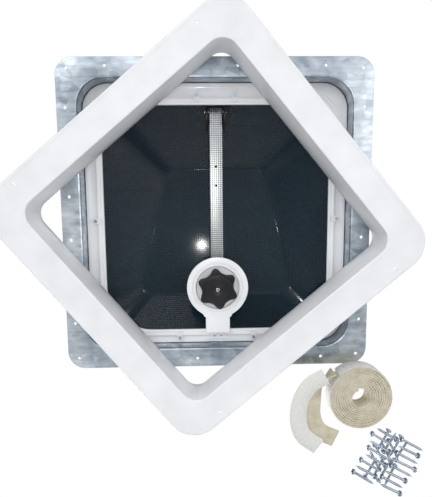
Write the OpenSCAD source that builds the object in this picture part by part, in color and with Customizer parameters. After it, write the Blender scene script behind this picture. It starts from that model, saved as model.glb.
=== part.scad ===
// Roof vent cover for a 14 inch opening, resting on its interior trim ring,
// with the sealing tape and mounting screws that belong to it.
// Millimetres, +Z up. The origin is the centre of the flange underside,
// which is the face that lies on the roof. +Y is the hinge side of the lid.

/* [Roof flange] */
// Side of the square roof flange
flange_side = 445; // [435:1:455]
// Corner radius of the roof flange
flange_corner = 25; // [10:1:40]
// Thickness of the galvanised sheet
sheet = 1.0; // [0.6:0.1:1.5]
// Half of the clear width between the neck walls
neck_half = 194; // [190:0.5:195]
// Height of the neck above the roof
neck_height = 42; // [38:1:44]
// Radius of the roof screw holes
hole_r = 2.25; // [1.5:0.05:3]
// Distance from the centre to each row of holes
row_half = 210.5; // [205:0.5:214]
// Distance of the corner holes from each centre line
corner_hole_half = 207; // [200:0.5:210]

/* [Inner frame and screen] */
// Height of the underside of the inner frame above the roof face
inner_z = 24; // [22:0.5:28]
// Half width of the screen opening
screen_half = 167; // [160:0.5:170]
// Corner radius of the screen opening
screen_corner = 68; // [40:1:90]
// Offset of the screen opening towards the front
screen_shift = 5; // [0:0.5:8]

/* [Operator] */
// Distance of the knob axis in front of the centre
knob_y = 106; // [100:0.5:112]
// Radius of the housing disc
housing_r = 46; // [42:0.5:50]
// Radius at the tips of the knob's lobes
knob_r = 30.5; // [27:0.5:32]
// Height of the lift arm pivot above the roof face
pivot_z = 44; // [43.5:0.5:45]
// Centre distance from the worm to the gear sector
gear_centres = 32; // [31.9:0.1:32.2]

/* [Lid] */
// Half width of the lid over its skirt
lid_half = 203; // [202.5:0.5:205]
// Wall thickness of the lid
lid_wall = 2.5; // [1.5:0.1:2.7]
// Highest point of the lid above the roof face
lid_top = 112; // [105:1:120]
// Height of the front edge of the raised top
lid_front_top = 84; // [80:1:90]

/* [Trim ring] */
// Outer side of the square trim ring
ring_side = 444; // [425:1:445]
// Depth of the trim ring from its face to the end of its neck
ring_depth = 42; // [38:1:50]
// Angle at which the ring lies under the vent
ring_angle = -39.8; // [-45:0.1:45]

/* [Kit] */
// Outer radius of the roll of sealing tape
roll_r = 47; // [44:0.5:48]
// Width of the sealing tape
tape_w = 25; // [20:0.5:28]
// Overall length of a mounting screw
screw_len = 38; // [32:0.5:38]

/* [Hidden] */
$fn = 64;
gap = 0.4;
floor_z = -(ring_depth + gap);

flange_half = flange_side / 2;
neck_outer = neck_half + sheet;
neck_corner = 38;
hem = 1.5;
row_near = 31;
row_far = 154;

frame_t = 3;
frame_half = neck_half - 0.6;
frame_ledge = 172;
upstand_t = 2;
upstand_top = 39;
rivet_z = 33;
screen_frame_t = 3.2;
screen_frame_half = 176.6;
screen_z = inner_z - 0.35;
groove_half = 169.2;
groove_w = 2.0;

knob_top = 9;
knob_bottom = -4;
housing_bottom = 12;
housing_top = inner_z - screen_frame_t;
recess_r = 32.4;
worm_shaft_r = 4;
arm_shaft_r = 4;
run_gap = 0.05;
teeth = 40;
gear_r = 25;
gear_add = 1.1;
gear_ded = 1.6;
worm_h = 20;
worm_root = gear_centres - gear_r - gear_ded + 0.2;
worm_tip = gear_centres - gear_r + gear_add - 0.4;
tooth_pitch = 2 * PI * gear_r / teeth;
pivot_y = gear_centres - knob_y;
sector_half_w = 2.5;
case_half_x = 13.6;
case_wall = 2;
case_z0 = inner_z + frame_t;
case_split = pivot_z;
case_z1 = 62;
case_y0 = -knob_y - 14;
case_y1 = pivot_y + 10;
ear_t = 6;
strap_screw_r = 1.6;

arm_half = 10.6;
arm_wall = 1.3;
arm_depth = 7.5;
tip_y = 157;
tip_z = 46;
slide_pin_r = 2.5;
slide_bush_r = 3.6;
slot_r = 4.45;
slot_angle = 51.1;
slot_travel = 14.2;
slot_spare = 0.6;

lid_inner = lid_half - lid_wall;
lid_corner = 46;
lid_rim_z = 50;
lid_round = 9;
plateau_rear_y = 70;
plateau_front_y = -124;
plateau_rear_half = 74;
plateau_front_half = 121;
hinge_y = 209;
hinge_z = 47;
knuckle_r = 4;
hinge_pin_r = 2;
leaf_t = 1.2;

ring_half = ring_side / 2;
ring_face_t = 2.2;
ring_opening = 179;
ring_neck = 177;
ring_neck_t = 1.8;
ring_centre = [12.4, -11.9];
ring_hole_x = 158.5;
ring_hole_y = 209.5;
ring_hole_r = 2.2;

roll_centre = [-201, -258];
roll_core_r = 11;
tape_t = 3;
paper_t = 0.6;
screw_head_r = 4.1;
pile_centre = [-246, -357];
tail_points = [[-165, -222.5], [-157, -229], [-143, -240], [-134, -258],
               [-132, -283], [-143, -306], [-166, -318]];
paper_points = [[-150, -224], [-128, -237], [-115, -260],
                [-112, -288], [-120, -312], [-142, -329]];

// Square outline with round corners, half width h and corner radius r
module rounded_square(h, r) {
    square([2 * h, 2 * (h - r)], center = true);
    square([2 * (h - r), 2 * h], center = true);
    for (x = [-1, 1], y = [-1, 1])
        translate([x * (h - r), y * (h - r)]) circle(r);
}

// Closed band between two rounded squares, from z0 up to z1
module band(outer, outer_r, inner, inner_r, z0, z1) {
    translate([0, 0, z0]) linear_extrude(z1 - z0) difference() {
        rounded_square(outer, outer_r);
        rounded_square(inner, inner_r);
    }
}

// Box between two corners
module block(low, high) {
    translate(low) cube(high - low);
}

// Cylinder along X, centred on x
module x_rod(r, length, at) {
    translate([at[0] - length / 2, at[1], at[2]]) rotate([0, 90, 0])
        cylinder(r = r, h = length);
}

// Four-fold copies about the Z axis
module each_side() {
    for (a = [0 : 90 : 270]) rotate([0, 0, a]) children();
}

module roof_flange() {
    color("silver") difference() {
        union() {
            band(flange_half, flange_corner, neck_half, neck_corner, 0, sheet);
            band(neck_outer, neck_corner + sheet, neck_half, neck_corner,
                 0, neck_height);
            band(neck_outer + hem, neck_corner + sheet + hem, neck_half,
                 neck_corner, neck_height - 2 * hem, neck_height);
        }
        roof_holes();
        frame_rivet_sites() rivet_hole();
        hinge_rivet_sites() rivet_hole();
    }
}

module roof_holes() {
    for (x = [-1, 1], y = [-1, 1])
        translate([x * corner_hole_half, y * corner_hole_half, -1])
            cylinder(r = hole_r, h = 4);
    each_side() for (x = [-row_far, -row_near, row_near, row_far])
        translate([x, row_half, -1]) cylinder(r = hole_r, h = 4);
}

// Rivet places around the neck; each child points outwards along +Y
module frame_rivet_sites() {
    for (x = [-150, 150]) translate([x, neck_half, rivet_z]) children();
    for (a = [90, 180, 270], x = [-120, 0, 120])
        rotate([0, 0, a]) translate([x, neck_half, rivet_z]) children();
}

module hinge_rivet_sites() {
    for (x = [-80, -40, 40, 80]) translate([x, neck_half, rivet_z]) children();
}

module rivet_hole() {
    translate([0, -4, 0]) rotate([-90, 0, 0]) cylinder(r = 2, h = 8);
}

// Rivet with a dome head outside a stack and a flat head inside it
module rivet(inside, outside) {
    translate([0, -inside, 0]) rotate([-90, 0, 0])
        cylinder(r = 2, h = inside + outside);
    translate([0, -inside - 0.8, 0]) rotate([-90, 0, 0]) cylinder(r = 3, h = 0.8);
    translate([0, outside, 0]) rotate([-90, 0, 0])
        cylinder(r1 = 3.6, r2 = 2.2, h = 1.1);
}

module inner_frame() {
    color("white") difference() {
        union() {
            translate([0, 0, inner_z]) linear_extrude(frame_t) difference() {
                rounded_square(frame_half, neck_corner - 0.6);
                translate([0, -screen_shift])
                    rounded_square(frame_ledge, screen_corner + 5);
            }
            band(frame_half, neck_corner - 0.6, frame_half - upstand_t,
                 neck_corner - 0.6 - upstand_t, inner_z, upstand_top);
        }
        frame_rivet_sites() rivet_hole();
        hinge_rivet_sites() rivet_hole();
        for (x = [-10, 10]) {
            block([x - 2, 188, inner_z - 1], [x + 2, 190, inner_z + 4]);
            block([x - 2.5, 182.5, inner_z - 1], [x + 2.5, 185, inner_z + 4]);
        }
        block([-13, -frame_half - 1, inner_z - 1], [13, -188, inner_z + 1.5]);
        translate([-166, 166, inner_z - 1]) rotate([0, 0, 45])
            linear_extrude(1.6) difference() {
                square([22, 5], center = true);
                square([20, 3.2], center = true);
            }
        strap_screw_sites() cylinder(r = strap_screw_r, h = 20, center = true);
    }
}

module frame_rivets() {
    color("gainsboro") frame_rivet_sites() rivet(upstand_t + 0.6, sheet);
}

module screen_frame() {
    color("white") translate([0, -screen_shift, 0]) difference() {
        band(screen_frame_half, 60, screen_half, screen_corner,
             inner_z - screen_frame_t - 0.4, inner_z - 0.4);
        band(groove_half + groove_w, screen_corner + 4, groove_half,
             screen_corner + 2, inner_z - 2.4, inner_z);
    }
}

module insect_screen() {
    color("black") translate([0, -screen_shift, screen_z]) linear_extrude(0.3)
        difference() {
            rounded_square(groove_half + 2.2, screen_corner + 4);
            translate([0, screen_shift - knob_y]) circle(15);
        }
}

module screen_spline() {
    color("dimgray") translate([0, -screen_shift, 0])
        band(groove_half + groove_w - 0.1, screen_corner + 3.9, groove_half + 0.1,
             screen_corner + 2.1, inner_z - 2.3, inner_z - 0.45);
}

// Places of the six turn clips that hold the screen frame
module clip_sites() {
    translate([0, -screen_shift, inner_z - screen_frame_t - 0.4]) {
        for (x = [-28, 28]) translate([x, screen_frame_half, 0]) children();
        for (x = [-55, 58]) translate([x, -screen_frame_half, 0])
            rotate([0, 0, 180]) children();
        translate([-screen_frame_half, 0, 0]) rotate([0, 0, 90]) children();
        translate([screen_frame_half, 0, 0]) rotate([0, 0, -90]) children();
    }
}

module screen_clips() {
    color("whitesmoke") clip_sites() difference() {
        union() {
            block([-4, -6, -1.8], [4, 5.5, 0]);
            block([-4, 0.4, 0], [4, 5.5, screen_frame_t + 0.4]);
        }
        translate([0, 2.8, -3]) cylinder(r = 1.3, h = 12);
    }
}

module clip_screws() {
    color("silver") clip_sites() {
        translate([0, 2.8, -1.8]) cylinder(r = 1.3, h = screen_frame_t + 2.2);
        translate([0, 2.8, -2.8]) cylinder(r = 2.3, h = 1);
    }
}

module operator_housing() {
    color("white") difference() {
        union() {
            translate([0, -knob_y, housing_bottom])
                cylinder(r = housing_r, h = 2.5);
            translate([0, -knob_y, housing_bottom])
                cylinder(r = recess_r + 3, h = housing_top - housing_bottom);
            block([-18.2, -screen_shift - screen_frame_half + 6, housing_bottom],
                  [18.2, -knob_y - 30, housing_bottom + 2.5]);
            block([-18.2, -screen_shift - screen_frame_half + 6, housing_bottom],
                  [18.2, -screen_shift - screen_half - 1, housing_top - 0.4]);
        }
        translate([0, -knob_y, housing_bottom - 1])
            cylinder(r = recess_r, h = 5);
        translate([0, -knob_y, housing_bottom])
            cylinder(r = worm_shaft_r + 2.5, h = 20);
    }
}

// Screws that hold the two halves of the gear case to the inner frame
module case_screw_sites() {
    for (x = [-1, 1], y = [case_y0 + 5, case_y1 - 5])
        translate([x * (case_half_x + 4), y, case_z0 - 4]) children();
}

module case_ears(z0, z1) {
    case_screw_sites() translate([0, 0, z0 - case_z0 + 4])
        cylinder(r = 4.6, h = z1 - z0);
}

module case_cavity() {
    block([-case_half_x + case_wall, case_y0 + case_wall, case_z0 + case_wall],
          [case_half_x - case_wall, case_y1 - case_wall, case_z1 - case_wall]);
    block([-case_half_x + case_wall, case_y1 - 5, pivot_z - 5],
          [case_half_x - case_wall, case_y1 + 1, case_z1 - case_wall]);
    x_rod(arm_shaft_r + run_gap, 60, [0, pivot_y, pivot_z]);
    translate([0, -knob_y, case_z0 - 5])
        cylinder(r = worm_shaft_r + 2.5, h = 9);
    translate([0, -knob_y, case_z1 - 6])
        cylinder(r = worm_shaft_r + run_gap, h = 9);
    case_screw_sites() cylinder(r = 1.6, h = 60);
}

module gear_case() {
    color("darkgray") difference() {
        union() {
            block([-case_half_x, case_y0, case_z0],
                  [case_half_x, case_y1, case_split]);
            case_ears(case_z0, case_split);
            block([-9, -frame_half + 5, case_z0], [9, case_y0 + 1, case_z0 + 2]);
        }
        case_cavity();
        strap_screw_sites() cylinder(r = strap_screw_r, h = 20, center = true);
    }
}

module gear_cover() {
    color("gray") difference() {
        union() {
            block([-case_half_x, case_y0, case_split],
                  [case_half_x, case_y1, case_z1]);
            case_ears(case_split, case_split + ear_t);
        }
        case_cavity();
    }
}

// Screws through the gear case's strap into the inner frame
module strap_screw_sites() {
    for (x = [-5, 5]) translate([x, -frame_half + 10, case_z0]) children();
}

module case_screws() {
    color("silver") {
        case_screw_sites() {
            translate([0, 0, 4])
                cylinder(r = 1.6, h = case_split + ear_t - case_z0);
            translate([0, 0, case_split + ear_t + 4 - case_z0])
                cylinder(r = 3, h = 2);
        }
        strap_screw_sites() {
            translate([0, 0, -frame_t]) cylinder(r = strap_screw_r, h = frame_t + 2);
            translate([0, 0, 2]) cylinder(r = 3, h = 1.6);
        }
    }
}

// Radius of the worm's outline at angle a, with one raised thread
function thread(a) = let (d = abs(((a + 180) % 360) - 180))
    worm_root + (worm_tip - worm_root) * max(0, min(1, (95 - d) / 55));

// Right-hand worm; its groove faces the sector at the pivot's height
module worm_screw() {
    turns = worm_h / tooth_pitch;
    color("goldenrod") translate([0, -knob_y, pivot_z]) difference() {
        rotate([0, 0, -90 - 180 * turns])
            linear_extrude(worm_h, twist = -360 * turns, slices = 46,
                           center = true)
                polygon([for (a = [0 : 24 : 336]) thread(a) * [cos(a), sin(a)]]);
        cylinder(r = worm_shaft_r, h = 2 * worm_h, center = true);
    }
}

module worm_shaft() {
    color("silver") translate([0, -knob_y, 0]) difference() {
        translate([0, 0, knob_bottom + 5])
            cylinder(r = worm_shaft_r, h = case_z1 - 1 - knob_bottom - 5);
        translate([0, 0, knob_bottom]) cylinder(r = 1.5, h = 16);
    }
}

module worm_bush() {
    color("ivory") translate([0, -knob_y, housing_top + 0.2]) difference() {
        union() {
            cylinder(r = worm_shaft_r + 2.3, h = 10);
            cylinder(r = worm_shaft_r + 6, h = case_z0 - housing_top - 0.4);
        }
        translate([0, 0, -1]) cylinder(r = worm_shaft_r + run_gap, h = 20);
    }
}

module knob() {
    lobes = 6;
    color("black") translate([0, -knob_y, 0]) difference() {
        union() {
            translate([0, 0, knob_bottom + 3]) linear_extrude(knob_top - knob_bottom - 3)
                polygon([for (a = [0 : 5 : 355])
                    (knob_r - 3.4 + 3.4 * cos(lobes * (a - 83)))
                    * [cos(a), sin(a)]]);
            translate([0, 0, knob_bottom]) cylinder(r = 19.3, h = 4);
            translate([0, 0, knob_top - 0.1]) cylinder(r = 9, h = 5);
        }
        translate([0, 0, knob_bottom + 5]) cylinder(r = worm_shaft_r, h = 30);
        translate([0, 0, knob_bottom - 1]) cylinder(r = 1.5, h = 10);
        translate([0, 0, knob_bottom - 1]) cylinder(r = 3.5, h = 2.6);
    }
}

module knob_screw() {
    color("gainsboro") translate([0, -knob_y, knob_bottom - 0.4]) {
        cylinder(r = 3.3, h = 2);
        cylinder(r = 1.45, h = 12);
    }
}

module gear_sector() {
    color("tan") translate([0, pivot_y, pivot_z]) rotate([90, 0, 90])
        difference() {
            translate([0, 0, -sector_half_w]) linear_extrude(2 * sector_half_w) {
                circle(7);
                for (k = [-2 : 3]) sector_tooth(k * 360 / teeth);
            }
            cylinder(r = arm_shaft_r, h = 40, center = true);
        }
}

// Web and one tooth of the sector, at angle a above the line to the worm
module sector_tooth(a) {
    half = 180 / teeth;
    root = gear_r - gear_ded;
    tip = gear_r + gear_add - 0.4;
    polygon([for (p = [[4, -3 * half], [root, -half - 0.5], [root, -half * 0.42],
                       [tip, -half * 0.14], [tip, half * 0.14],
                       [root, half * 0.42], [root, half + 0.5], [4, 3 * half]])
             p[0] * [-cos(a + p[1]), sin(a + p[1])]]);
}

module arm_shaft() {
    color("silver") x_rod(arm_shaft_r, 2 * case_half_x + 2, [0, pivot_y, pivot_z]);
}

module lift_arm() {
    lean = atan2(tip_z - pivot_z, tip_y - pivot_y);
    reach = norm([tip_y - pivot_y, tip_z - pivot_z]);
    color("lightgray") translate([0, pivot_y, pivot_z]) rotate([lean, 0, 0])
        difference() {
            union() {
                block([-arm_half, 12, -arm_depth / 2],
                      [arm_half, reach + 5, -arm_depth / 2 + arm_wall]);
                for (x = [-arm_half, arm_half - arm_wall]) {
                    block([x, 0, -arm_depth / 2],
                          [x + arm_wall, reach + 5, arm_depth / 2]);
                    x_rod(7, arm_wall, [x + arm_wall / 2, 0, 0]);
                }
            }
            x_rod(arm_shaft_r, 60, [0, 0, 0]);
            x_rod(slide_pin_r, 60, [0, reach, 0]);
            for (d = [81.5, 110]) translate([0, reach - d, -20])
                cylinder(r = 1.9, h = 20);
        }
}

module slide_pin() {
    color("silver") {
        x_rod(slide_pin_r, 32, [0, tip_y, tip_z]);
        for (x = [-16.5, 16.5]) x_rod(slide_pin_r + 1.5, 1, [x, tip_y, tip_z]);
    }
}

module slide_bushes() {
    color("black") for (x = [-1, 1]) difference() {
        x_rod(slide_bush_r, 4.4, [x * 13.4, tip_y, tip_z]);
        x_rod(slide_pin_r, 6, [x * 13.4, tip_y, tip_z]);
    }
}

// Angle and offset of the inner face of the lid's rear slope
lid_inner_edge = [lid_inner, lid_rim_z - 2];
lid_rear_centre = [plateau_rear_y, lid_top - lid_round];
rear_reach = lid_rear_centre - lid_inner_edge;
rear_lean = atan2(rear_reach[1], -rear_reach[0])
    + asin((lid_round - lid_wall) / norm(rear_reach));

// Height of the inner face of the rear slope at y
function rear_slope(y) = lid_inner_edge[1] + (lid_inner - y) * tan(rear_lean);

module lid_bracket() {
    low_y = tip_y - slot_travel * cos(slot_angle);
    low_z = tip_z - slot_travel * sin(slot_angle);
    color("silver") difference() {
        union() {
            for (x = [-14.6, 12.2]) translate([x, 0, 0]) rotate([90, 0, 90])
                linear_extrude(2.4) polygon([[low_y - 8, low_z - 3],
                    [low_y - 4, low_z - 7.5], [low_y + 4, low_z - 7.5],
                    [tip_y + 9, tip_z - 4], [tip_y + 12, rear_slope(tip_y + 12) - 0.2],
                    [low_y - 14, rear_slope(low_y - 14) - 0.2]]);
            translate([-24, 0, 0]) rotate([90, 0, 90]) linear_extrude(48)
                polygon([[low_y - 14, rear_slope(low_y - 14) - 2.4],
                    [tip_y + 12, rear_slope(tip_y + 12) - 2.4],
                    [tip_y + 12, rear_slope(tip_y + 12) - 0.2],
                    [low_y - 14, rear_slope(low_y - 14) - 0.2]]);
        }
        for (t = [-slot_spare, slot_travel + slot_spare])
            x_rod(slot_r, 60, [0, tip_y - t * cos(slot_angle),
                               tip_z - t * sin(slot_angle)]);
        translate([0, tip_y, tip_z]) rotate([slot_angle, 0, 0])
            block([-30, -slot_travel - slot_spare, -slot_r], [30, slot_spare, slot_r]);
        bracket_rivet_sites() cylinder(r = 2, h = 10, center = true);
    }
}

// Rivets from the bracket's pad up through the lid
module bracket_rivet_sites() {
    for (x = [-19, 19], y = [tip_y - 15, tip_y + 4])
        translate([x, y, rear_slope(y)]) rotate([-rear_lean, 0, 0]) children();
}

module bracket_rivets() {
    color("silver") bracket_rivet_sites() {
        translate([0, 0, -2.6]) cylinder(r = 2, h = 2.6 + lid_wall + 0.4);
        translate([0, 0, -3.6]) cylinder(r = 3.2, h = 1.2);
        translate([0, 0, lid_wall + 0.3]) cylinder(r1 = 3.8, r2 = 2.4, h = 1.3);
    }
}

// Solid dome over a rounded square rim and four rounded plateau corners
module dome_solid(half, corner, z0, z1, round_r) {
    hull() {
        translate([0, 0, z0]) linear_extrude(z1 - z0) rounded_square(half, corner);
        for (x = [-1, 1]) {
            translate([x * plateau_rear_half, plateau_rear_y, lid_top - lid_round])
                sphere(round_r, $fn = 32);
            translate([x * plateau_front_half, plateau_front_y,
                       lid_front_top - lid_round])
                sphere(round_r, $fn = 32);
        }
    }
}

module dome_lid() {
    color("darkslategray") difference() {
        union() {
            dome_solid(lid_half, lid_corner, 42.4, lid_rim_z, lid_round);
            intersection() {
                band(lid_half, lid_corner, lid_inner, lid_corner - lid_wall, 30, 44);
                block([-300, -300, 0], [300, 150, 100]);
            }
        }
        dome_solid(lid_inner, lid_corner - lid_wall, 42, lid_rim_z - 2,
                   lid_round - lid_wall);
        bracket_rivet_sites() cylinder(r = 2.05, h = 20, center = true);
        leaf_rivet_sites() cylinder(r = 1.5, h = 10, center = true);
    }
}

module lid_gasket() {
    color("black") band(lid_inner - 0.3, lid_corner - lid_wall - 0.3,
                        neck_half - 2, neck_corner - 2, 42.4, 46.5);
}

module hinge_base() {
    color("gainsboro") difference() {
        union() {
            block([-100, neck_outer, 24], [100, neck_outer + 1.6, 38]);
            for (x = [[-100, -60], [-20, 20], [60, 100]]) {
                block([x[0], neck_outer, 36.4], [x[1], hinge_y + 2, 38]);
                block([x[0], hinge_y - 2, 36.4], [x[1], hinge_y + 2, hinge_z]);
                x_rod(knuckle_r, x[1] - x[0], [(x[0] + x[1]) / 2, hinge_y, hinge_z]);
            }
        }
        x_rod(hinge_pin_r + run_gap, 300, [0, hinge_y, hinge_z]);
        hinge_rivet_sites() rivet_hole();
    }
}

module hinge_leaf() {
    color("gainsboro") difference() {
        for (x = [-59.5, 20.5]) {
            block([x - 8, lid_half, 43], [x + 47, lid_half + leaf_t, lid_rim_z]);
            block([x, lid_half, hinge_z - 1.5], [x + 39, hinge_y, hinge_z + 1.5]);
            x_rod(knuckle_r, 39, [x + 19.5, hinge_y, hinge_z]);
        }
        x_rod(hinge_pin_r + run_gap, 300, [0, hinge_y, hinge_z]);
        leaf_rivet_sites() cylinder(r = 1.5, h = 20, center = true);
    }
}

// Rivets that hold the two leaves to the back of the lid
module leaf_rivet_sites() {
    for (x = [-63.5, -16.5, 16.5, 63.5])
        translate([x, lid_half, hinge_z - 0.5]) rotate([-90, 0, 0]) children();
}

module leaf_rivets() {
    color("silver") leaf_rivet_sites() {
        translate([0, 0, -lid_wall]) cylinder(r = 1.5, h = lid_wall + leaf_t);
        translate([0, 0, leaf_t]) cylinder(r1 = 2.6, r2 = 2.1, h = 0.4);
    }
}

module hinge_pin() {
    color("silver") {
        x_rod(hinge_pin_r, 202, [0, hinge_y, hinge_z]);
        for (x = [-101.5, 101.5]) x_rod(hinge_pin_r + 1, 1, [x, hinge_y, hinge_z]);
    }
}

module hinge_rivets() {
    color("silver") hinge_rivet_sites() rivet(upstand_t + 0.6, sheet + 1.6);
}

module garnish_ring() {
    color("white") translate([ring_centre[0], ring_centre[1], floor_z])
        rotate([0, 0, ring_angle]) difference() {
            union() {
                band(ring_half, 40, ring_opening, 24, 0, ring_face_t);
                band(ring_half, 40, ring_half - 2, 38, 0, 6);
                band(ring_neck, 22, ring_neck - ring_neck_t, 20.2, 0, ring_depth);
                band(ring_opening + 1, 25, ring_neck - ring_neck_t, 20.2,
                     0.8, ring_face_t);
            }
            for (x = [-1, 1], y = [-1, 1])
                translate([x * ring_hole_x, y * ring_hole_y, -1])
                    cylinder(r = ring_hole_r, h = 6);
        }
}

module sealing_tape_roll() {
    color("wheat") translate([roll_centre[0], roll_centre[1], floor_z])
        difference() {
            cylinder(r = roll_r, h = tape_w);
            translate([0, 0, -1]) cylinder(r = roll_core_r, h = tape_w + 2);
        }
}

// One cross-section of a ribbon that leans over from upright to flat
module ribbon_slice(at, heading, lean, width, thick) {
    lift = (width * cos(lean) + thick * sin(lean)) / 2;
    translate([at[0], at[1], floor_z + lift]) rotate([0, 0, heading])
        rotate([lean, 0, 0]) cube([0.4, thick, width], center = true);
}

// Ribbon along points; it lies flat after the first turn_over points
module ribbon(points, width, thick, turn_over) {
    last = len(points) - 1;
    slices = [for (i = [0 : last]) let (
        before = points[max(0, i - 1)],
        after = points[min(last, i + 1)],
        run = after - before)
        [points[i], atan2(run[1], run[0]),
         turn_over > 0 ? 90 * min(1, i / turn_over) : 90]];
    for (i = [0 : last - 1]) hull() {
        ribbon_slice(slices[i][0], slices[i][1], slices[i][2], width, thick);
        ribbon_slice(slices[i + 1][0], slices[i + 1][1], slices[i + 1][2],
                     width, thick);
    }
}

module sealing_tape_tail() {
    color("tan") translate([0, 0, paper_t + 0.2])
        ribbon(tail_points, tape_w, tape_t, 4);
}

module release_paper() {
    color("white") ribbon(paper_points, tape_w, paper_t, 0);
}

// One screw along +X, its head at the origin
module mounting_screw() {
    rotate([0, 90, 0]) {
        cylinder(r1 = 3.2, r2 = screw_head_r, h = 1.2);
        translate([0, 0, 1.2]) cylinder(r = screw_head_r, h = 1.6);
        translate([0, 0, 2.8]) cylinder(r = 2.1, h = screw_len - 8.8);
        translate([0, 0, screw_len - 6]) cylinder(r1 = 2.1, r2 = 0.4, h = 6);
    }
}

// A layer of near-parallel screws, heads at alternate ends
module screw_layer(rows, columns, heading, lift, centre) {
    pitch = 10.6;
    for (c = [0 : columns - 1], r = [0 : rows - 1]) {
        along = (c - (columns - 1) / 2) * (screw_len + 5) + 3 * sin(70 * r + 40 * c);
        across = (r - (rows - 1) / 2) * pitch;
        flip = (r + c) % 2;
        translate([centre[0], centre[1], floor_z + lift])
            rotate([0, 0, heading]) translate([along, across, 0])
                rotate([0, 0, 180 * flip + 7 * sin(55 * c + 35)])
                    translate([-screw_len / 2, 0, 0]) mounting_screw();
    }
}

module mounting_screws() {
    color("lightsteelblue") {
        screw_layer(8, 2, 25, screw_head_r, pile_centre);
        screw_layer(4, 2, 112, 3 * screw_head_r + 0.3, pile_centre);
        screw_layer(4, 1, 60, 5 * screw_head_r + 0.6, pile_centre);
    }
}

roof_flange();
inner_frame();
frame_rivets();
screen_frame();
insect_screen();
screen_spline();
screen_clips();
clip_screws();
operator_housing();
gear_case();
gear_cover();
case_screws();
worm_screw();
worm_shaft();
worm_bush();
knob();
knob_screw();
gear_sector();
arm_shaft();
lift_arm();
slide_pin();
slide_bushes();
lid_bracket();
bracket_rivets();
dome_lid();
lid_gasket();
hinge_base();
hinge_leaf();
leaf_rivets();
hinge_pin();
hinge_rivets();
garnish_ring();
sealing_tape_roll();
sealing_tape_tail();
release_paper();
mounting_screws();
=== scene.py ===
"""Looks of the roof vent cover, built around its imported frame. Metres; lengths below are in millimetres."""
import math
import random

import bmesh
import bpy
from mathutils import Matrix, Vector


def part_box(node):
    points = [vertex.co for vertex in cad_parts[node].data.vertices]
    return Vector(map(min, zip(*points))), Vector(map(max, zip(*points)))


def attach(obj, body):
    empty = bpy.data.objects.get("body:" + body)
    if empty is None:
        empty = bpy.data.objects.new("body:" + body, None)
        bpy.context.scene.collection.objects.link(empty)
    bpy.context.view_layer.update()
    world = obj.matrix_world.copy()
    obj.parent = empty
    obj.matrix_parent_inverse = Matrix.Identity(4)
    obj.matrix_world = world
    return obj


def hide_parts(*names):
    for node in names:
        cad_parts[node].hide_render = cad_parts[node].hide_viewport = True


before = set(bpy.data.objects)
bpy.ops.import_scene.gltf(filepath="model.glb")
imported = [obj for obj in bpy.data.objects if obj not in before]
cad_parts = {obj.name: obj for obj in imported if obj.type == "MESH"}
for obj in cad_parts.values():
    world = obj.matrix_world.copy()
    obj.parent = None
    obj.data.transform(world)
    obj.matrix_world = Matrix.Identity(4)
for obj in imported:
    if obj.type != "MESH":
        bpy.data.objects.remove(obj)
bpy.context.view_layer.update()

MM = 0.001
random.seed(7)

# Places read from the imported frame, in millimetres
RING_LOW, RING_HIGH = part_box("garnish_ring")
FLOOR_Z = RING_LOW[2] / MM
RING_CENTRE = ((RING_LOW[0] + RING_HIGH[0]) / 2 / MM, (RING_LOW[1] + RING_HIGH[1]) / 2 / MM)
FLANGE_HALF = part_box("roof_flange")[1][0] / MM
KNOB_Y = (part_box("knob_screw")[0][1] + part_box("knob_screw")[1][1]) / 2 / MM
INNER_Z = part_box("inner_frame")[0][2] / MM

# Sizes shared by several pieces, in millimetres, and the turn of the loose ring
RING_TURN = math.radians(-39.8)
SCREEN_SHIFT = -5
NECK_HALF = 194
NECK_CORNER = 38
TAPE_WIDTH = 25.0

# Mesh detail: steps round a corner and along a side, sides of a screw, and the angle of a hard edge
ARC_STEPS = 12
SIDE_STEPS = 8
SCREW_SIDES = 24
HARD_EDGE = 35


# ---------------------------------------------------------------- mesh tools

def finish_mesh(name, verts, faces, sharp=HARD_EDGE):
    """A new smooth-shaded object from millimetre points, with hard edges where faces meet sharply."""
    mesh = bpy.data.meshes.new(name)
    mesh.from_pydata([[c * MM for c in v] for v in verts], [], faces)
    bm = bmesh.new()
    bm.from_mesh(mesh)
    bmesh.ops.remove_doubles(bm, verts=bm.verts, dist=1e-6)
    bmesh.ops.recalc_face_normals(bm, faces=bm.faces)
    bm.to_mesh(mesh)
    bm.free()
    mesh.polygons.foreach_set("use_smooth", [True] * len(mesh.polygons))
    mesh.set_sharp_from_angle(angle=math.radians(sharp))
    obj = bpy.data.objects.new(name, mesh)
    bpy.context.scene.collection.objects.link(obj)
    return obj


def bridge(loops, closed=False, caps=(False, False)):
    """Points and quads through a row of loops of one length; caps close the first and last loop."""
    count = len(loops[0])
    verts = [p for loop in loops for p in loop]
    faces = []
    for a in range(len(loops) if closed else len(loops) - 1):
        b = (a + 1) % len(loops)
        for i in range(count):
            j = (i + 1) % count
            faces.append((a * count + i, a * count + j, b * count + j, b * count + i))
    if caps[0]:
        faces.append(tuple(range(count)))
    if caps[1]:
        faces.append(tuple((len(loops) - 1) * count + i for i in range(count)))
    return verts, faces


def square_loop(half, corner, z, shift=0.0):
    """Points round a square with round corners, with side points along each straight edge."""
    points = []
    for quarter in range(4):
        turn = quarter * math.pi / 2
        centre = half - corner
        for k in range(ARC_STEPS + 1):
            a = k / ARC_STEPS * math.pi / 2
            x, y = centre + corner * math.cos(a), centre + corner * math.sin(a)
            points.append(turned(x, y, turn))
        for k in range(1, SIDE_STEPS):
            x = centre * (1 - 2 * k / SIDE_STEPS)
            points.append(turned(x, half, turn))
    return [(x, y + shift, z) for x, y in points]


def turned(x, y, angle):
    """The point turned about the origin."""
    c, s = math.cos(angle), math.sin(angle)
    return x * c - y * s, x * s + y * c


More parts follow.
